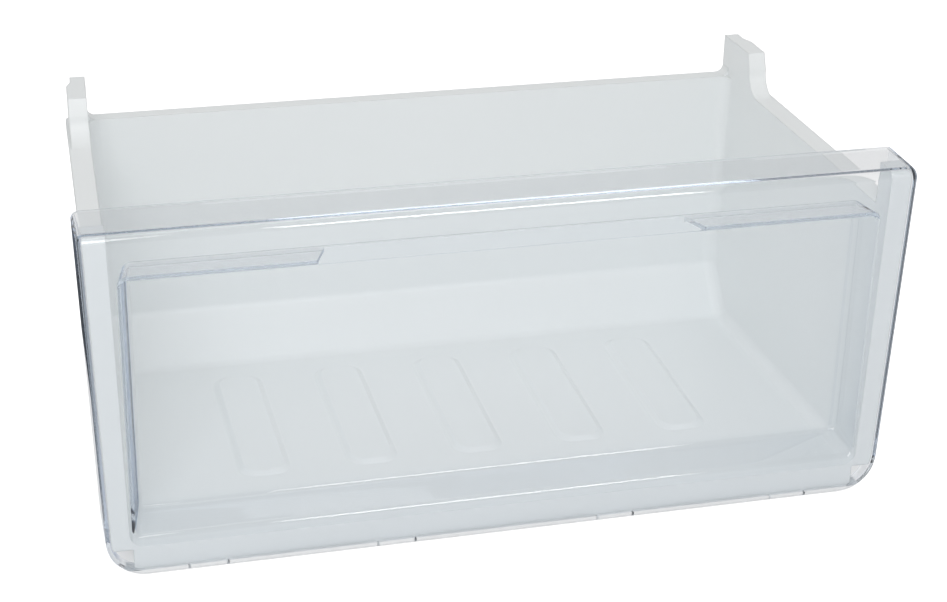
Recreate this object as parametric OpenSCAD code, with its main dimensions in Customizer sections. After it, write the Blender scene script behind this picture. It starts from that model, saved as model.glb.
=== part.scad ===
// Freezer drawer: a white moulded tub with a clear front cover that clips on to its front flange.
// The front face looks towards -Y, the tub runs back towards +Y and +Z is up.
// The origin is under the middle of the drawer, level with the lower edge of the cover.

/* [Front cover] */
// Width of the cover along its top edge
cover_w = 455; // [400:1:520]
// How far each side of the cover draws in towards its lower edge
cover_taper = 5.6; // [0:0.1:12]
// Height of the cover
cover_h = 202; // [170:1:260]
// Wall of the clear moulding
cover_wall = 2.4; // [1.8:0.1:3]
// Depth of the top ledge and of the side returns
skirt_d = 34.5; // [24:0.5:45]
// Depth of the bottom return
bottom_return_d = 9; // [7:0.5:14]
// Radius of the two lower corners
corner_r = 22; // [14:0.5:28]
// Radius of the two upper corners
top_corner_r = 4; // [3:0.5:6]
// Radius of the front top edge, where the hand closes
top_edge_r = 6; // [4:0.5:8]
// Radius of the side and lower front edges
front_edge_r = 2.6; // [2:0.1:4]

/* [Window recess] */
// Width of the border beside the recess, at the lower edge of the cover
border_w = 15.2; // [12:0.1:24]
// Height of the fascia above the recess
fascia_h = 26.6; // [20:0.1:36]
// Height of the border below the recess
sill_h = 24.4; // [20:0.1:32]
// Depth of the recess
recess_d = 18.2; // [12:0.1:24]
// How far each side of the recess draws in towards the window
recess_side_inset = 4.4; // [1:0.1:7]
// How far the recess's floor rises towards the window
recess_floor_rise = 8.7; // [2:0.1:12]
// Wall of the recess
recess_wall = 2.2; // [1.6:0.1:2.8]
// Radius of the recess's corners
recess_corner_r = 3; // [2.5:0.5:8]
// Radius of the recess's front edge
recess_edge_r = 2.4; // [1:0.1:3]
// Radius of the edge round the window
window_edge_r = 2; // [1:0.1:2.4]

/* [Finger opening] */
// Width of the finger opening at the fascia
grip_w = 212; // [140:1:260]
// Width of the finger opening at the window
grip_rear_w = 199; // [130:1:250]

/* [Tub] */
// Depth of the whole drawer, from the front face to the edge of the back rim
drawer_d = 238; // [190:1:420]
// How far the rims lie below the top of the cover
rim_drop = 25.4; // [20:0.1:40]
// Height of the tub's floor above the lower edge of the cover
floor_z = 17.4; // [15:0.1:24]
// Wall of the tub
tub_wall = 2.2; // [1.6:0.1:3]
// How far each side wall draws in from the rim to the floor
wall_draft = 2.8; // [1:0.1:8]
// How far each side wall draws in from front to back
wall_taper = 9; // [0:0.1:12]
// How far the back wall leans in from the rim to the floor
back_draft = 3; // [1:0.1:8]
// Radius of the tub's inner edges
tub_fillet = 8; // [5:0.5:12]
// Depth of the slope at the foot of the back wall
foot_slope_d = 20; // [10:0.5:40]
// Height of the slope at the foot of the back wall
foot_slope_h = 24; // [12:0.5:40]

/* [Rims] */
// How far each side rim draws in from front to back
rim_taper = 7.6; // [0:0.1:10]
// Width of the rim behind the back wall
back_rim_w = 9.5; // [7:0.1:14]
// Height of the rim's turned-down edge
rim_lip_h = 6; // [4:0.1:12]
// Radius of the rim's rear corners
rim_corner_r = 7; // [4:0.5:9]

/* [Front flange] */
// Depth of the front flange and its posts
flange_d = 14.4; // [10:0.1:20]
// Height at which the flange's posts start
flange_foot_z = 16; // [14:0.1:20]
// Gap between the front lip and the cover's bottom return
lip_gap = 0.5; // [0.3:0.1:3]
// How far the lip's ends stand in from the tub's side walls
lip_inset = 1.5; // [0:0.1:8]

/* [Tongues] */
// Width of a tongue under the front lip
tongue_w = 21; // [12:0.5:30]
// Distance of the inner two tongues from the middle
tongue_inner_x = 63.5; // [30:0.5:90]
// Distance of the outer two tongues from the middle
tongue_outer_x = 168; // [120:0.5:180]

/* [Ears] */
// Length of an ear along its top
ear_l = 37; // [24:0.5:50]
// Gap between the top of the ears and the level of the cover's top
ear_top_drop = 1; // [0:0.1:6]
// How far an ear stands in from the edge of the rim
ear_set_in = 1.4; // [0.5:0.1:2.5]
// How much further its rear end stands in
ear_step = 2.6; // [0.5:0.1:3.5]
// Distance of that step from the back edge of the rim
ear_step_y = 16; // [13:0.5:22]
// How far the front of an ear leans forward down to its foot
ear_lean = 4; // [0:0.5:12]
// Radius where the front of an ear runs out into the side rim
ear_fillet = 15; // [2:0.5:18]
// Radius where the inner face of an ear runs out into the back rim
ear_web_r = 5; // [2:0.5:8]

/* [Floor ribs] */
// Number of raised ribs
rib_count = 5; // [1:1:6]
// Distance between two ribs
rib_pitch = 63; // [50:0.5:66]
// Width of a rib at its foot
rib_w = 30; // [18:0.5:40]
// Length of a rib at its foot
rib_l = 122; // [60:1:140]
// Height of a rib
rib_h = 2.1; // [1:0.1:4]
// Radius of a rib's corners
rib_corner_r = 9; // [4:0.5:9]
// Distance of the ribs' front ends from the front face
rib_front_y = 62; // [40:1:75]

/* [Fits] */
// Gap between the tub's flange and the cover
fit_gap = 0.5; // [0.3:0.1:0.7]
// Gap in front of the flange and above its posts
seat_gap = 0.3; // [0.2:0.05:0.6]

/* [Hidden] */
cut = 1;
reach = 40;
arc_steps = 12;
edge_steps = 6;
least_r = 0.6;
rim_z = cover_h - rim_drop;
ear_top_z = cover_h - ear_top_drop;
side_lean = atan(cover_taper / cover_h);
recess_half = cover_w / 2 - cover_taper - border_w;
recess_top_z = cover_h - fascia_h;
window_y = recess_d + recess_wall;
flange_inset = cover_wall + fit_gap;
flange_y = cover_wall + seat_gap;
flange_end_y = flange_y + flange_d;
tub_floor_half = recess_half + recess_wall + fit_gap;
tub_rim_half = tub_floor_half + wall_draft;
back_y = drawer_d - back_rim_w;
rim_half = cover_half(rim_z - rim_lip_h) - flange_inset;
notch_w = tongue_w + 2 * fit_gap;
tongue_xs = [-tongue_outer_x, -tongue_inner_x, tongue_inner_x, tongue_outer_x];
tongue_foot_z = fit_gap;
lip_z = cover_wall + lip_gap;
return_foot_z = flange_foot_z;
return_foot_r = 10;
rib_slope = 1.6;
white = [0.87, 0.90, 0.90];
clear = [0.80, 0.88, 0.92, 0.45];

// Half the width of the cover's outer face at height z
function cover_half(z) = cover_w / 2 - cover_taper * (cover_h - z) / cover_h;

// Half the inner width of the tub at depth y and height z
function tub_half(y, z) =
    tub_rim_half - wall_taper * y / drawer_d - wall_draft * (rim_z - z) / (rim_z - floor_z);

// Depth of the back wall's inner face at height z
function tub_back(z) = back_y - back_draft * (rim_z - z) / (rim_z - floor_z);

// Half the width of the rims at depth y
function rim_out(y) = rim_half - rim_taper * y / drawer_d;

// Points along an arc from angle a0 to angle a1
function arc(centre, r, a0, a1) =
    [for (i = [0:arc_steps]) let (a = a0 + (a1 - a0) * i / arc_steps) centre + r * [cos(a), sin(a)]];

// Points mirrored to the left side, in reverse order, so that they close the outline
function mirrored(points) = [for (i = [len(points) - 1:-1:0]) [-points[i][0], points[i][1]]];

// How far an edge of radius r stands back at depth d behind its foremost line
function edge_inset(r, d) = d >= r ? 0 : r - sqrt(r * r - (r - d) * (r - d));

// Puts the front face at its place, so that the drawer is centred on the origin
module placed() {
    translate([0, -drawer_d / 2, 0])
        children();
}

// Raises a flat outline drawn in width and height into a body from depth y0 to depth y1
module along_depth(y0, y1) {
    translate([0, y1, 0])
        rotate([90, 0, 0])
            linear_extrude(y1 - y0)
                children();
}

// Outline points of the cover, drawn in by the given amounts at the sides and foot, and at the top
function cover_ring(inset, top_inset) =
    let (
        r = corner_r - inset,
        foot = [cover_half(inset + r) - (inset + r) / cos(side_lean), inset + r],
        tr = max(top_corner_r - inset, least_r),
        head_z = cover_h - top_inset - tr,
        head = [cover_half(head_z) - (inset + tr) / cos(side_lean), head_z],
        right = concat(arc(foot, r, -90, -side_lean), arc(head, tr, -side_lean, 90))
    )
    concat(right, mirrored(right));

// Outline points of the recess at depth y, grown outwards by the given wall
function recess_ring(y, grow) =
    let (
        share = y / recess_d,
        r = max(recess_corner_r + grow, least_r),
        half = recess_half - recess_side_inset * share + grow - r,
        low = sill_h + recess_floor_rise * share - grow + r,
        high = recess_top_z + grow - r,
        right = concat(arc([half, low], r, -90, 0), arc([half, high], r, 0, 90))
    )
    concat(right, mirrored(right));

// An outline in width and height, set at depth y
function at_depth(ring, y) = [for (p = ring) [p[0], y, p[1]]];

// A solid through outlines of equal point counts, one behind the other
module loft(rings) {
    n = len(rings[0]);
    last = len(rings) - 1;
    sides = [
        for (k = [0:last - 1], i = [0:n - 1])
            let (j = (i + 1) % n)
                each [[k * n + i, k * n + j, k * n + n + j], [k * n + i, k * n + n + j, k * n + n + i]]
    ];
    front = [for (i = [n - 1:-1:0]) i];
    back = [for (i = [0:n - 1]) last * n + i];
    polyhedron([for (r = rings) each r], concat(sides, [front, back]));
}

// Depths of the outlines that round an edge of radius r
function edge_depths(r) = [for (i = [0:edge_steps]) r * (1 - cos(90 * i / edge_steps))];

// The cover as a solid block, with all its front edges rounded
module cover_block() {
    loft(concat(
        [for (d = edge_depths(top_edge_r))
            at_depth(cover_ring(edge_inset(front_edge_r, d), edge_inset(top_edge_r, d)), d)],
        [at_depth(cover_ring(0, 0), skirt_d)]
    ));
}

// The space inside the cover, open to the back, one wall smaller all round
module cover_inside() {
    r = top_edge_r - cover_wall;
    loft(concat(
        [for (d = edge_depths(r)) at_depth(cover_ring(cover_wall, cover_wall + edge_inset(r, d)), cover_wall + d)],
        [at_depth(cover_ring(cover_wall, cover_wall), skirt_d + cut)]
    ));
}

// The walls of the recess and the window as a solid block
module recess_block() {
    y0 = cover_wall / 2;
    loft([
        at_depth(recess_ring(y0, recess_wall), y0),
        at_depth(recess_ring(recess_d, recess_wall), window_y)
    ]);
}

// The hollow of the recess, with a rounded front edge and a fillet round the window
module recess_hollow() {
    front = edge_depths(recess_edge_r);
    rear = edge_depths(window_edge_r);
    loft(concat(
        [at_depth(recess_ring(0, recess_edge_r), -cut)],
        [for (d = front) at_depth(recess_ring(d, edge_inset(recess_edge_r, d)), d)],
        [for (i = [edge_steps:-1:0])
            let (y = recess_d - rear[i]) at_depth(recess_ring(y, -edge_inset(window_edge_r, rear[i])), y)]
    ));
}

// The trapezoid through the recess's ceiling, where the fingers reach up behind the fascia
module finger_opening() {
    translate([0, 0, recess_top_z - recess_corner_r])
        linear_extrude(recess_corner_r + recess_wall + cut)
            polygon([
                [-grip_w / 2, cover_wall], [grip_w / 2, cover_wall],
                [grip_rear_w / 2, recess_d], [-grip_rear_w / 2, recess_d]
            ]);
}

// What is cut off below the side returns, so that only the shallow bottom return is left there
module below_returns() {
    corner = [bottom_return_d + return_foot_r, return_foot_z - return_foot_r];
    edge = arc(corner, return_foot_r, 180, 90);
    rotate([90, 0, 90])
        linear_extrude(cover_w + 2 * cut, center = true)
            polygon(concat(
                [[bottom_return_d, -cut]], edge,
                [[skirt_d + cut, return_foot_z], [skirt_d + cut, -cut]]
            ));
}

// Notches of the bottom return, open to the back, where the tub's tongues sit
module tongue_notches() {
    for (x = tongue_xs)
        translate([x - notch_w / 2, cover_wall, -cut])
            cube([notch_w, bottom_return_d, cover_wall + 2 * cut]);
}

module front_cover() {
    color(clear)
        placed()
            difference() {
                union() {
                    difference() {
                        cover_block();
                        cover_inside();
                    }
                    recess_block();
                }
                recess_hollow();
                finger_opening();
                below_returns();
                tongue_notches();
            }
}

// The tub's hollow as a solid that is open at the front and the top, with edges of radius r.
// The same centres serve for the inside and the outside, so the wall is even all round.
module tub_form(r) {
    open_y = -reach;
    open_z = cover_h + reach;
    floor_c = floor_z + tub_fillet;
    slope_c = floor_z + foot_slope_h + tub_fillet;
    slope_y = tub_back(floor_z) - foot_slope_d - tub_fillet;
    stations = [
        [open_y, floor_c], [slope_y, floor_c], [tub_back(slope_c) - tub_fillet, slope_c],
        [tub_back(open_z) - tub_fillet, open_z], [open_y, open_z]
    ];
    hull()
        for (side = [-1, 1], s = stations)
            translate([side * (tub_half(s[0], s[1]) - tub_fillet), s[0], s[1]])
                sphere(r, $fn = 32);
}

// Plan of the rims, drawn in by the given amount, from depth y0 to the back edge
module rim_plan(y0, inset) {
    r = rim_corner_r;
    end_y = drawer_d - inset;
    centre = [rim_out(end_y - r) - inset - r, end_y - r];
    right = concat([[rim_out(y0) - inset, y0]], arc(centre, r, 0, 90));
    polygon(concat(right, mirrored(right)));
}

// The flat rims with their turned-down edge
module rims() {
    start_y = flange_end_y - tub_wall;
    translate([0, 0, rim_z - tub_wall])
        linear_extrude(tub_wall)
            rim_plan(start_y, 0);
    translate([0, 0, rim_z - rim_lip_h])
        linear_extrude(rim_lip_h)
            difference() {
                rim_plan(start_y, 0);
                translate([0, -cut])
                    rim_plan(start_y - cut, tub_wall);
            }
}

// What the front flange may fill: the inside of the cover less the gaps, with the same rounded top edge
module flange_block() {
    r = top_edge_r - cover_wall;
    top_inset = cover_wall + seat_gap;
    loft(concat(
        [for (d = edge_depths(r)) at_depth(cover_ring(flange_inset, top_inset + edge_inset(r, d)), flange_y + d)],
        [at_depth(cover_ring(flange_inset, top_inset), flange_end_y)]
    ));
}

// The walls of the tub below the rims, with the part beside the posts left higher
module tub_walls() {
    intersection() {
        tub_form(tub_fillet + tub_wall);
        union() {
            translate([-cover_w / 2, flange_y, 0])
                cube([cover_w, drawer_d, rim_z]);
            flange_block();
        }
    }
}

// The two columns of the front flange, which end in the posts beside the fascia
module flange_columns() {
    difference() {
        intersection() {
            flange_block();
            translate([-cover_w / 2, 0, flange_foot_z])
                cube([cover_w, drawer_d, cover_h]);
        }
        difference() {
            union() {
                along_depth(flange_y + tub_wall, flange_end_y - tub_wall)
                    polygon(cover_ring(flange_inset + tub_wall, cover_wall + seat_gap + tub_wall));
                intersection() {
                    along_depth(flange_y + tub_wall, flange_end_y + cut)
                        polygon(cover_ring(flange_inset + tub_wall, cover_wall + seat_gap + tub_wall));
                    translate([-cover_w / 2, 0, 0])
                        cube([cover_w, drawer_d, rim_z - tub_wall]);
                }
            }
            tub_form(tub_fillet + tub_wall);
        }
    }
}

// The lip under the floor's front edge, with the tongues that hold the foot of the cover
module front_lip() {
    half = tub_floor_half - lip_inset;
    intersection() {
        flange_block();
        translate([-half, flange_y, lip_z])
            cube([2 * half, tub_wall, floor_z - lip_z]);
    }
    for (x = tongue_xs)
        translate([x - tongue_w / 2, flange_y, tongue_foot_z])
            cube([tongue_w, tub_wall, floor_z - tongue_foot_z]);
}

// Plan of the right ear, drawn in by the given wall: flush with the side wall, stepped at its rear end
module ear_plan(wall) {
    y0 = drawer_d - ear_l - ear_lean - ear_fillet;
    step_y = drawer_d - ear_step_y;
    rear_y = step_y + 3 * ear_step;
    inset = ear_set_in + wall;
    polygon([
        [tub_half(y0, rim_z) + wall, y0], [rim_out(y0) - inset, y0], [rim_out(step_y) - inset, step_y],
        [rim_out(rear_y) - inset - ear_step, rear_y], [rim_out(drawer_d) - inset - ear_step, drawer_d - wall],
        [tub_half(drawer_d, rim_z) + wall, drawer_d - wall]
    ]);
}

// Side view of an ear, drawn in by the given wall, from height low up
module ear_profile(wall, low) {
    top_y = drawer_d - ear_l + wall;
    foot_y = top_y - ear_lean;
    run_out = arc([foot_y - ear_fillet, rim_z + ear_fillet], ear_fillet, 0, -90);
    foot = wall > 0 ? [[foot_y, low]] : concat(run_out, [[foot_y - ear_fillet, low]]);
    polygon(concat([[drawer_d - wall, low], [drawer_d - wall, ear_top_z - wall], [top_y, ear_top_z - wall]], foot));
}

// The right ear, which keeps the drawer from tipping when it is pulled out
module ear_block(wall, low) {
    intersection() {
        translate([0, 0, low])
            linear_extrude(cover_h)
                ear_plan(wall);
        rotate([90, 0, 90])
            linear_extrude(cover_w / 2)
                ear_profile(wall, low);
    }
}

// The rounded web where the ear's inner face runs out into the back rim
module ear_web() {
    translate([tub_half(drawer_d, rim_z) - ear_web_r, back_y, rim_z])
        difference() {
            cube([ear_web_r + tub_wall, back_rim_w, ear_web_r]);
            translate([0, -cut, ear_web_r])
                rotate([-90, 0, 0])
                    cylinder(h = back_rim_w + 2 * cut, r = ear_web_r, $fn = 48);
        }
}

// The hollows of both ears, open below the rims
module ear_hollows() {
    difference() {
        for (side = [0, 1])
            mirror([side, 0, 0])
                ear_block(tub_wall, rim_z - rim_lip_h);
        tub_form(tub_fillet + tub_wall);
    }
}

// Outline of the given width and length with rounded corners
module rib_plan(w, l, r) {
    square([w - 2 * r, l], center = true);
    square([w, l - 2 * r], center = true);
    for (x = [-1, 1], y = [-1, 1])
        translate([x * (w / 2 - r), y * (l / 2 - r)])
            circle(r, $fn = 32);
}

// A raised rib of the floor, with gently sloping sides that also run on into the floor
module floor_rib() {
    rise = 2 * rib_slope * rib_h;
    sunk = 2 * rib_slope * cut;
    w = rib_w + sunk;
    l = rib_l + sunk;
    translate([0, rib_front_y + rib_l / 2, floor_z - cut])
        linear_extrude(rib_h + cut, scale = [(rib_w - rise) / w, (rib_l - rise) / l])
            rib_plan(w, l, rib_corner_r + sunk / 2);
}

module tub() {
    color(white)
        placed() {
            difference() {
                union() {
                    tub_walls();
                    rims();
                    flange_columns();
                    front_lip();
                    for (side = [0, 1])
                        mirror([side, 0, 0]) {
                            ear_block(0, rim_z - tub_wall);
                            ear_web();
                        }
                }
                tub_form(tub_fillet);
                ear_hollows();
            }
            for (i = [0:rib_count - 1])
                translate([(i - (rib_count - 1) / 2) * rib_pitch, 0, 0])
                    floor_rib();
        }
}

tub();
front_cover();
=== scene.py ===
"""Dresses the freezer drawer: a white moulded tub behind a clear clip-on front cover."""
import math

import bmesh
import bpy
from mathutils import Matrix, Vector


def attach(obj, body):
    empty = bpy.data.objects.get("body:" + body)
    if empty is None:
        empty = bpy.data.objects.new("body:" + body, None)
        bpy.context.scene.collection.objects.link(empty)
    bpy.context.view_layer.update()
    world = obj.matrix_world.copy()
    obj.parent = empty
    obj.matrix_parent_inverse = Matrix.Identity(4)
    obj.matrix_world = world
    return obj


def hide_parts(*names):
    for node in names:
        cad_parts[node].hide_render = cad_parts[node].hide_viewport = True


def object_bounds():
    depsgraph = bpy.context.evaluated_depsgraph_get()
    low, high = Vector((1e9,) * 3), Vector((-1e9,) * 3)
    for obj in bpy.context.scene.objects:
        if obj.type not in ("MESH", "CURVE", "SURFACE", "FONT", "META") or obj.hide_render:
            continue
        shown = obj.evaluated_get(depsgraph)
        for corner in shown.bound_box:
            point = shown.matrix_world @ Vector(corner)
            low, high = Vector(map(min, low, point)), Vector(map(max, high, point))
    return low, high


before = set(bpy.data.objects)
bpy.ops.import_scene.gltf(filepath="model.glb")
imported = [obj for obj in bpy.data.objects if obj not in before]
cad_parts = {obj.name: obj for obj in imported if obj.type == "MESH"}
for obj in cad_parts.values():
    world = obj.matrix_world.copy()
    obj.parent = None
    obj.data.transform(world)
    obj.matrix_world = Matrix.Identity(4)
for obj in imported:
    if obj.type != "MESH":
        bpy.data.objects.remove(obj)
CAD_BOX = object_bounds()

# The camera, from a fit to the photograph: millimetres, with depth counted from the front face.
IMAGE_W = 947
FOCAL_PX = 2084.35
SENSOR_MM = 36.0
CAMERA_AT = (-276.47, -958.73, 629.73)
CAMERA_RIGHT = (0.96898, -0.24632, 0.02007)
CAMERA_DOWN = (-0.09033, -0.42862, -0.89896)
CAMERA_AHEAD = (0.23003, 0.86926, -0.43758)
NEAR_CLIP = 0.05
FAR_CLIP = 60

# Finishes, as linear colours.
WHITE_PLASTIC = (0.866, 0.890, 0.894, 1.0)
WHITE_PLASTIC_DULL = (0.842, 0.868, 0.872, 1.0)
CLEAR_TINT = (0.993, 0.996, 0.997, 1.0)
CLEAR_SHADE = (0.985, 0.990, 0.992, 1.0)
# Painted shade: clear faces seen edge-on turn this blue-grey, partly for their longer path through the
# plastic, partly for dark edge lines.
CLEAR_GRAZING_SHADE = (0.24, 0.31, 0.48, 1.0)
FROSTED_EDGE = (0.93, 0.94, 0.945, 1.0)
FROSTED_EDGE_DULL = (0.90, 0.915, 0.92, 1.0)
FLOOR_GREY = (0.80, 0.80, 0.80, 1.0)
# The dark parts of the room, painted on patches that only reflections see.
DARK_REFLECTION_GREY = (0.05, 0.053, 0.056, 1.0)

# What the walls of the clear plastic absorb, and the refraction of its body and of its glossy skin.
ABSORPTION_TINT = (0.50, 0.60, 0.73, 1.0)
ABSORPTION_DENSITY = 34.0
CLEAR_IOR = 1.25
SKIN_IOR = 1.59
SKIN_ROUGHNESS = 0.02
WHITE_IOR = 1.5

# How far a clear face turns away before it darkens with painted shade, and the share of its gloss that it
# loses there.
GRAZING_START = 0.62
GRAZING_FULL = 0.81
GRAZING_GLOSS_LOSS = 0.85

# The faint unevenness of each finish: how fine its ripple and grain are, and the grain's share of the height.
WHITE_RIPPLE = {"Ripple scale": 9.0, "Grain scale": 1400.0, "Grain share": 0.25}
CLEAR_RIPPLE = {"Ripple scale": 16.0, "Grain scale": 260.0, "Grain share": 0.02}
FROSTED_RIPPLE = {"Ripple scale": 60.0, "Grain scale": 2400.0, "Grain share": 0.8}

# Hairline scratches: how fine they are along each axis, and how strong.
WHITE_HAIRS = {"Stretch": (900.0, 30.0, 900.0), "Amount": 0.6}
CLEAR_HAIRS = {"Stretch": (24.0, 700.0, 700.0), "Amount": 0.5}

# Bump of each finish, with its height in metres.
WHITE_BUMP = {"Strength": 0.12, "Distance": 0.0004}
CLEAR_BUMP = {"Strength": 0.05, "Distance": 0.0004}
FROSTED_BUMP = {"Strength": 0.3, "Distance": 0.0002}

# Roughness of each finish, and what its ripple and its hairlines add to it.
WHITE_ROUGHNESS = 0.34
WHITE_RIPPLE_ROUGHNESS = 0.12
WHITE_HAIR_ROUGHNESS = 0.15
CLEAR_ROUGHNESS = 0.015
CLEAR_HAIR_ROUGHNESS = 0.10
FROSTED_ROUGHNESS = 0.5
FROSTED_RIPPLE_ROUGHNESS = 0.2

# Radius of the edges as the mould leaves them, in metres.
WHITE_EDGE = 0.0012
CLEAR_EDGE = 0.0006
EDGE_SAMPLES = 6

# Corners that are merged, faces that count as one flat face, and edges that stay crisp.
MERGE_DISTANCE = 0.00002
FLAT_ANGLE = math.radians(0.2)
SHARP_EDGE = math.radians(24)

# The frosted foot of the clear cover: its height, and the clear marks left at both ends of each tongue.
FOOT_TOP = 0.0038
FOOT_INSIDE = 0.5
TONGUE_MIDDLES = (-0.168, -0.0635, 0.0635, 0.168)
TONGUE_HALF_W = 0.0105
MARK_HALF_W = 0.0007
MARK_EDGES = [x + end * TONGUE_HALF_W + side * MARK_HALF_W
              for x in TONGUE_MIDDLES for end in (-1, 1) for side in (-1, 1)]

# How far the floor and the painted dark reflection patches on it lie below the foot of the drawer, in metres.
FLOOR_DROP = 0.0004
PATCH_DROP = 0.0002

# The light that the floor adds of its own, as the camera sees it and as reflections see it.
FLOOR_GLOW = 0.72
FLOOR_GLOW_MIRRORED = 0.30

# How high a reflected ray has to point before the room starts to darken, and where it is darkest.
DARKER_FROM = 0.2
DARKEST_AT = 0.75


def socket(sockets, name):
    """A node's socket by its name."""
    return next(s for s in sockets if s.name == name)


class Net:
    """A node tree with short calls for placing and joining nodes."""

    def __init__(self, tree):
        self.tree = tree

    def join(self, value, target):
        """Links an output to an input, or gives the input a plain value."""
        if isinstance(value, bpy.types.NodeSocket):
            self.tree.links.new(value, target)
        else:
            target.default_value = value

    def add(self, kind, values=None, **settings):
        """A node with its settings, and with its inputs given by number or by name."""
        made = self.tree.nodes.new(kind)
        for name, value in settings.items():
            setattr(made, name, value)
        for key, value in (values or {}).items():
            self.join(value, made.inputs[key] if isinstance(key, int) else socket(made.inputs, key))
        return made

    def mix(self, factor, first, second):
        """A colour between two colours."""
        made = self.add("ShaderNodeMix", {0: factor, 6: first, 7: second}, data_type="RGBA", blend_type="MIX")
        return made.outputs[2]

    def sums(self, operation, *values):
        """The result of one sum on two or three values."""
        return self.add("ShaderNodeMath", dict(enumerate(values)), operation=operation).outputs[0]

    def either(self, factor, first, second):
        """A node that gives the first node's shader at a factor of 0, and the second's at 1."""
        return self.add("ShaderNodeMixShader", {0: factor, 1: first.outputs[0], 2: second.outputs[0]})


def new_group(name, inputs, outputs):
    """An empty shader group with named inputs and outputs."""
    tree = bpy.data.node_groups.new(name, "ShaderNodeTree")
    for label, kind, value in inputs:
        made = tree.interface.new_socket(label, in_out="INPUT", socket_type=kind)
        if value is not None:
            made.default_value = value
    for label, kind in outputs:
        tree.interface.new_socket(label, in_out="OUTPUT", socket_type=kind)
    net = Net(tree)
    return net, net.add("NodeGroupInput"), net.add("NodeGroupOutput")


def moulding_ripple_group():
    """The faint unevenness of a moulded face: a slow ripple with a fine grain on it, as a height."""
    net, given, made = new_group(
        "moulding_ripple",
        [("Vector", "NodeSocketVector", None), ("Ripple scale", "NodeSocketFloat", 20.0),
         ("Grain scale", "NodeSocketFloat", 900.0), ("Grain share", "NodeSocketFloat", 0.2)],
        [("Height", "NodeSocketFloat"), ("Patch", "NodeSocketFloat")],
    )
    place = socket(given.outputs, "Vector")
    ripple = net.add("ShaderNodeTexNoise", {
        "Vector": place, "Scale": socket(given.outputs, "Ripple scale"), "Detail": 2.0, "Roughness": 0.45})
    grain = net.add("ShaderNodeTexNoise", {
        "Vector": place, "Scale": socket(given.outputs, "Grain scale"), "Detail": 3.0, "Roughness": 0.6})
    fine = net.sums("MULTIPLY", grain.outputs[0], socket(given.outputs, "Grain share"))
    net.join(net.sums("ADD", ripple.outputs[0], fine), socket(made.inputs, "Height"))
    net.join(ripple.outputs[0], socket(made.inputs, "Patch"))
    return net.tree


def hairline_group():
    """Short hairline scratches from cleaning and sliding, as a mask from 0 to 1."""
    net, given, made = new_group(
        "hairlines",
        [("Vector", "NodeSocketVector", None), ("Stretch", "NodeSocketVector", (40.0, 900.0, 900.0)),
         ("Amount", "NodeSocketFloat", 0.5)],
        [("Mask", "NodeSocketFloat")],
    )
    place = socket(given.outputs, "Vector")
    stretch = socket(given.outputs, "Stretch")
    drawn = net.add("ShaderNodeVectorMath", {0: place, 1: stretch}, operation="MULTIPLY")
    lines = net.add("ShaderNodeTexNoise", {
        "Vector": drawn.outputs[0], "Scale": 1.0, "Detail": 2.0, "Roughness": 0.5})
    where = net.add("ShaderNodeTexNoise", {"Vector": place, "Scale": 14.0, "Detail": 2.0})
    thin = net.add("ShaderNodeMapRange", {"Value": lines.outputs[0], "From Min": 0.63, "From Max": 0.72})
    some = net.add("ShaderNodeMapRange", {"Value": where.outputs[0], "From Min": 0.48, "From Max": 0.7})
    both = net.sums("MULTIPLY", thin.outputs[0], some.outputs[0])
    net.join(net.sums("MULTIPLY", both, socket(given.outputs, "Amount")), socket(made.inputs, "Mask"))
    return net.tree


def blank_material(name):
    """A material whose tree holds only its output."""
    made = bpy.data.materials.new(name)
    made.use_nodes = True
    made.node_tree.nodes.clear()
    net = Net(made.node_tree)
    return made, net, net.add("ShaderNodeOutputMaterial")


def plastic_material(name):
    """A material with a plastic's shader, and the place on the piece that its patterns follow."""
    made, net, out = blank_material(name)
    shader = net.add("ShaderNodeBsdfPrincipled")
    net.join(shader.outputs[0], out.inputs["Surface"])
    return made, net, shader, out, net.add("ShaderNodeTexCoord").outputs["Object"]


def white_plastic(ripple_tree, hairline_tree):
    """Cool white moulded polystyrene with a satin face."""
    made, net, shader, _, place = plastic_material("white_moulded_plastic")
    ripple = net.add("ShaderNodeGroup", {"Vector": place, **WHITE_RIPPLE}, node_tree=ripple_tree)
    hairs = net.add("ShaderNodeGroup", {"Vector": place, **WHITE_HAIRS}, node_tree=hairline_tree)
    net.join(net.mix(ripple.outputs["Patch"], WHITE_PLASTIC, WHITE_PLASTIC_DULL), shader.inputs["Base Color"])
    rough = net.sums("MULTIPLY_ADD", ripple.outputs["Patch"], WHITE_RIPPLE_ROUGHNESS, WHITE_ROUGHNESS)
    rough = net.sums("MULTIPLY_ADD", hairs.outputs["Mask"], WHITE_HAIR_ROUGHNESS, rough)
    net.join(rough, shader.inputs["Roughness"])
    edge = net.add("ShaderNodeBevel", {"Radius": WHITE_EDGE}, samples=EDGE_SAMPLES)
    bump = net.add("ShaderNodeBump", {
        "Height": ripple.outputs["Height"], "Normal": edge.outputs[0], **WHITE_BUMP})
    net.join(bump.outputs[0], shader.inputs["Normal"])
    shader.inputs["IOR"].default_value = WHITE_IOR
    return made


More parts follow.
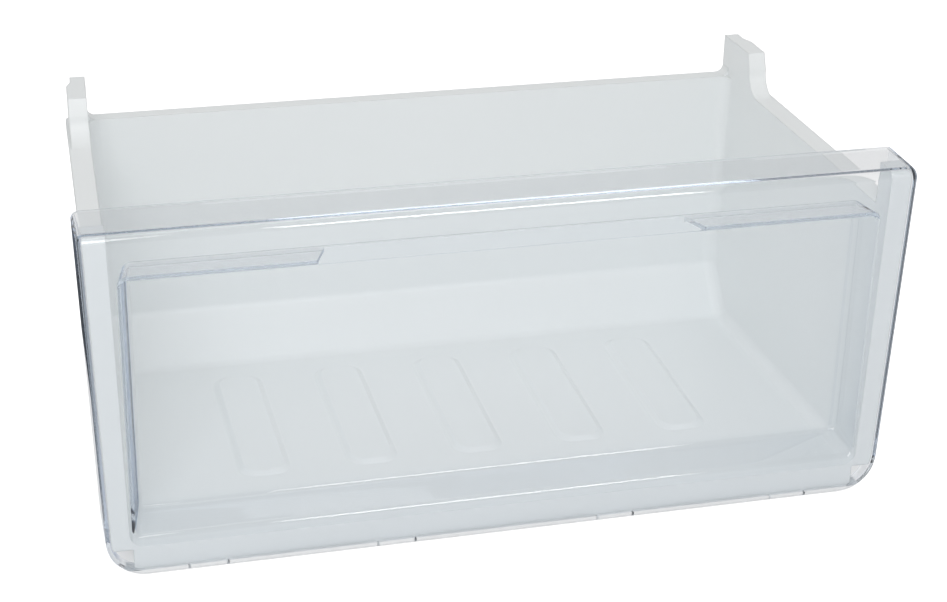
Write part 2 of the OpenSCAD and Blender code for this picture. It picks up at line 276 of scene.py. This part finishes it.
def clear_plastic(ripple_tree, hairline_tree):
    """Polished clear polystyrene, with painted blue-grey shade where a face turns away from the view. Light
    passes through it.
    """
    made, net, shader, out, place = plastic_material("clear_moulded_plastic")
    ripple = net.add("ShaderNodeGroup", {"Vector": place, **CLEAR_RIPPLE}, node_tree=ripple_tree)
    hairs = net.add("ShaderNodeGroup", {"Vector": place, **CLEAR_HAIRS}, node_tree=hairline_tree)
    rough = net.sums("MULTIPLY_ADD", hairs.outputs["Mask"], CLEAR_HAIR_ROUGHNESS, CLEAR_ROUGHNESS)
    net.join(rough, shader.inputs["Roughness"])
    edge = net.add("ShaderNodeBevel", {"Radius": CLEAR_EDGE}, samples=EDGE_SAMPLES)
    bump = net.add("ShaderNodeBump", {
        "Height": ripple.outputs["Height"], "Normal": edge.outputs[0], **CLEAR_BUMP})
    net.join(bump.outputs[0], shader.inputs["Normal"])
    net.join(bump.outputs[0], shader.inputs["Coat Normal"])
    turned = net.add("ShaderNodeLayerWeight", {"Blend": 0.5, "Normal": bump.outputs[0]})
    grazing = net.add("ShaderNodeMapRange", {
        "Value": turned.outputs["Facing"], "From Min": GRAZING_START, "From Max": GRAZING_FULL},
        interpolation_type="SMOOTHSTEP")
    # Painted shade: a face seen edge-on takes a blue-grey colour, for dark edge lines as well as its longer
    # path through the plastic.
    net.join(net.mix(grazing.outputs[0], CLEAR_TINT, CLEAR_GRAZING_SHADE), shader.inputs["Base Color"])
    # The skin reflects from outside only: inside the walls its reflections would add light at every turn.
    skin = net.sums("MULTIPLY_ADD", grazing.outputs[0], -GRAZING_GLOSS_LOSS, 1.0)
    outside = net.sums("SUBTRACT", 1.0, net.add("ShaderNodeNewGeometry").outputs["Backfacing"])
    net.join(net.sums("MULTIPLY", skin, outside), shader.inputs["Coat Weight"])
    shader.inputs["IOR"].default_value = CLEAR_IOR
    shader.inputs["Transmission Weight"].default_value = 1.0
    shader.inputs["Coat Roughness"].default_value = SKIN_ROUGHNESS
    shader.inputs["Coat IOR"].default_value = SKIN_IOR
    open_way = net.add("ShaderNodeBsdfTransparent", {"Color": CLEAR_SHADE})
    path = net.add("ShaderNodeLightPath")
    bounced = net.either(path.outputs["Is Diffuse Ray"], shader, open_way)
    lit = net.either(path.outputs["Is Shadow Ray"], bounced, open_way)
    net.join(lit.outputs[0], out.inputs["Surface"])
    depth = net.add("ShaderNodeVolumeAbsorption", {"Color": ABSORPTION_TINT, "Density": ABSORPTION_DENSITY})
    net.join(depth.outputs[0], out.inputs["Volume"])
    return made


def frosted_edge(ripple_tree):
    """The textured foot of the clear cover, all round its bottom return, which scatters the light."""
    made, net, shader, _, place = plastic_material("frosted_foot")
    ripple = net.add("ShaderNodeGroup", {"Vector": place, **FROSTED_RIPPLE}, node_tree=ripple_tree)
    net.join(net.mix(ripple.outputs["Patch"], FROSTED_EDGE, FROSTED_EDGE_DULL), shader.inputs["Base Color"])
    rough = net.sums("MULTIPLY_ADD", ripple.outputs["Patch"], FROSTED_RIPPLE_ROUGHNESS, FROSTED_ROUGHNESS)
    net.join(rough, shader.inputs["Roughness"])
    bump = net.add("ShaderNodeBump", {"Height": ripple.outputs["Height"], **FROSTED_BUMP})
    net.join(bump.outputs[0], shader.inputs["Normal"])
    return made


def split_foot(shape):
    """Cuts the faces of the foot off the rest, and cuts them again at the marks."""
    everything = shape.verts[:] + shape.edges[:] + shape.faces[:]
    bmesh.ops.bisect_plane(shape, geom=everything, plane_co=(0, 0, FOOT_TOP), plane_no=(0, 0, 1))
    for x in MARK_EDGES:
        low = [f for f in shape.faces if f.calc_center_median().z < FOOT_TOP]
        parts = set(low)
        for face in low:
            parts.update(face.verts)
            parts.update(face.edges)
        bmesh.ops.bisect_plane(shape, geom=list(parts), plane_co=(x, 0, 0), plane_no=(1, 0, 0))


def is_frosted(face):
    """True for the foot's faces that don't look up, other than the marks."""
    middle = face.calc_center_median()
    past = sum(middle.x > x for x in MARK_EDGES)
    return middle.z < FOOT_TOP and face.normal.z < FOOT_INSIDE and past % 2 == 0


def moulded_piece(name, node, body, finishes):
    """A piece with the solid's own shape, smooth over its rounded faces and crisp along its edges."""
    has_foot = len(finishes) > 1
    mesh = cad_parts[node].data.copy()
    mesh.name = name
    mesh.materials.clear()
    for finish in finishes:
        mesh.materials.append(finish)
    shape = bmesh.new()
    shape.from_mesh(mesh)
    bmesh.ops.remove_doubles(shape, verts=shape.verts, dist=MERGE_DISTANCE)
    bmesh.ops.dissolve_limit(shape, angle_limit=FLAT_ANGLE, verts=shape.verts, edges=shape.edges,
                             delimit=set())
    if has_foot:
        split_foot(shape)
    bmesh.ops.triangulate(shape, faces=[f for f in shape.faces if len(f.verts) > 4])
    for face in shape.faces:
        face.smooth = True
        face.material_index = 1 if has_foot and is_frosted(face) else 0
    for edge in shape.edges:
        edge.smooth = edge.calc_face_angle(0.0) < SHARP_EDGE
    shape.to_mesh(mesh)
    shape.free()
    piece = bpy.data.objects.new(name, mesh)
    bpy.context.scene.collection.objects.link(piece)
    piece.modifiers.new("even_normals", "WEIGHTED_NORMAL").keep_sharp = True
    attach(piece, body)
    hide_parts(node)
    return piece


def area_lamp(name, at, aim, size, power, glint_only=False):
    """A rectangular lamp that points at a place. One for glints only shows as a glint on glossy faces."""
    lamp = bpy.data.lights.new(name, "AREA")
    lamp.shape = "RECTANGLE"
    lamp.size, lamp.size_y = size
    lamp.energy = power
    made = bpy.data.objects.new(name, lamp)
    bpy.context.scene.collection.objects.link(made)
    made.location = at
    made.rotation_mode = "QUATERNION"
    made.rotation_quaternion = (Vector(aim) - made.location).normalized().to_track_quat("-Z", "Y")
    made.visible_camera = False
    made.visible_diffuse = not glint_only
    return made


def mirrored_ray(net, path):
    """1 for a ray that was reflected or came through a clear wall, and 0 for the others."""
    return net.sums("MAXIMUM", path.outputs["Is Glossy Ray"], path.outputs["Is Transmission Ray"])


def pale_world(level, horizon, ceiling):
    """A white room for the camera, and for reflections one whose pale walls darken towards its ceiling."""
    world = bpy.data.worlds.new("pale_room")
    bpy.context.scene.world = world
    world.use_nodes = True
    world.node_tree.nodes.clear()
    net = Net(world.node_tree)
    path = net.add("ShaderNodeLightPath")
    way = net.add("ShaderNodeSeparateXYZ", {0: net.add("ShaderNodeTexCoord").outputs["Generated"]})
    room = net.add("ShaderNodeMapRange", {
        "Value": way.outputs[2], "From Min": DARKER_FROM, "From Max": DARKEST_AT,
        "To Min": horizon, "To Max": ceiling}, interpolation_type="SMOOTHSTEP")
    extra = net.sums("SUBTRACT", room.outputs[0], level)
    strength = net.sums("MULTIPLY_ADD", mirrored_ray(net, path), extra, level)
    strength = net.sums("MAXIMUM", strength, path.outputs["Is Camera Ray"])
    back = net.add("ShaderNodeBackground", {"Strength": strength})
    net.join(back.outputs[0], net.add("ShaderNodeOutputWorld").inputs["Surface"])


def flat_sheet(name, x_span, y_span, drop, finish):
    """A level rectangle a little below the foot of the drawer."""
    (x0, x1), (y0, y1) = x_span, y_span
    mesh = bpy.data.meshes.new(name)
    mesh.from_pydata([(x0, y0, 0), (x1, y0, 0), (x1, y1, 0), (x0, y1, 0)], [], [(0, 1, 2, 3)])
    mesh.materials.append(finish)
    sheet = bpy.data.objects.new(name, mesh)
    bpy.context.scene.collection.objects.link(sheet)
    sheet.location = (0, 0, CAD_BOX[0].z - drop)
    return sheet


def pale_floor(size):
    """A white floor that keeps the drawer's soft shadow."""
    made, net, out = blank_material("pale_floor")
    path = net.add("ShaderNodeLightPath")
    mirrored = net.sums("MULTIPLY", mirrored_ray(net, path), FLOOR_GLOW_MIRRORED)
    seen = net.sums("MULTIPLY_ADD", path.outputs["Is Camera Ray"], FLOOR_GLOW, mirrored)
    plain = net.add("ShaderNodeBsdfDiffuse", {"Color": FLOOR_GREY})
    glow = net.add("ShaderNodeEmission", {"Strength": seen})
    both = net.add("ShaderNodeAddShader", {0: plain.outputs[0], 1: glow.outputs[0]})
    net.join(both.outputs[0], out.inputs["Surface"])
    span = (-size / 2, size / 2)
    floor = flat_sheet("floor", span, span, FLOOR_DROP, made)


def painted_dark_reflection(name, x_span, y_span):
    """A painted dark reflection: a patch on the floor beside the tub that stands for the dark parts of the
    room. It shows in reflections and not through the clear walls.
    """
    made, net, out = blank_material(name)
    plain = net.add("ShaderNodeEmission", {"Color": DARK_REFLECTION_GREY})
    open_way = net.add("ShaderNodeBsdfTransparent")
    reflected = net.sums("MINIMUM", net.add("ShaderNodeLightPath").outputs["Glossy Depth"], 1.0)
    net.join(net.either(reflected, open_way, plain).outputs[0], out.inputs["Surface"])
    patch = flat_sheet(name, x_span, y_span, PATCH_DROP, made)
    patch.visible_camera = False
    patch.visible_diffuse = False
    patch.visible_shadow = False


def photograph_camera():
    """The camera at the photograph's place, angle and focal length."""
    made = bpy.data.cameras.new("photograph_camera")
    made.sensor_fit = "HORIZONTAL"
    made.sensor_width = SENSOR_MM
    made.lens = SENSOR_MM * FOCAL_PX / IMAGE_W
    made.clip_start = NEAR_CLIP
    made.clip_end = FAR_CLIP
    camera = bpy.data.objects.new("photograph_camera", made)
    bpy.context.scene.collection.objects.link(camera)
    front = CAD_BOX[0].y
    at = (CAMERA_AT[0] / 1000, CAMERA_AT[1] / 1000 + front, CAMERA_AT[2] / 1000)
    rows = [(CAMERA_RIGHT[i], -CAMERA_DOWN[i], -CAMERA_AHEAD[i], at[i]) for i in range(3)]
    camera.matrix_world = Matrix(rows + [(0, 0, 0, 1)])
    bpy.context.scene.camera = camera


photograph_camera()
ripple_tree = moulding_ripple_group()
hairline_tree = hairline_group()
moulded_piece("white_tub", "tub", "tub_body", [white_plastic(ripple_tree, hairline_tree)])
cover = moulded_piece("clear_cover", "front_cover", "cover_body",
                      [clear_plastic(ripple_tree, hairline_tree), frosted_edge(ripple_tree)])
pale_world(level=0.80, horizon=0.8, ceiling=0.5)
pale_floor(size=8.0)
# Painted dark reflections beside the tub, which give the clear side walls their dark edges.
painted_dark_reflection("left_dark_reflection", x_span=(-0.50, -0.232), y_span=(-0.08, 0.45))
painted_dark_reflection("right_dark_reflection", x_span=(0.232, 0.50), y_span=(-0.08, 0.45))
area_lamp("key_lamp", at=(-0.5, -1.45, 1.25), aim=(0, 0, 0.1), size=(0.9, 0.7), power=9.6)
area_lamp("strip_lamp", at=(0.2, -0.24, 1.7), aim=(0.05, -0.119, 0.2), size=(2.4, 0.2), power=2)
area_lamp("right_glint", at=(0.37, -1.45, 1.0), aim=(0, -0.1, 0.05), size=(0.56, 0.3), power=4.5,
          glint_only=True)
rear = area_lamp("rear_glint", at=(0.36, 0.82, 1.40), aim=(0, -0.119, 0.2), size=(0.6, 0.9), power=2.6,
                 glint_only=True)
# The rear glint shows on the clear cover alone, and not on the tub's satin faces.
only_cover = bpy.data.collections.new("only_the_cover")
only_cover.objects.link(cover)
rear.light_linking.receiver_collection = only_cover

scene = bpy.context.scene
scene.view_settings.view_transform = "Standard"
# Light that runs along the clear walls needs many reflections before it leaves them.
scene.cycles.max_bounces = 40
scene.cycles.glossy_bounces = 32
scene.cycles.transmission_bounces = 32
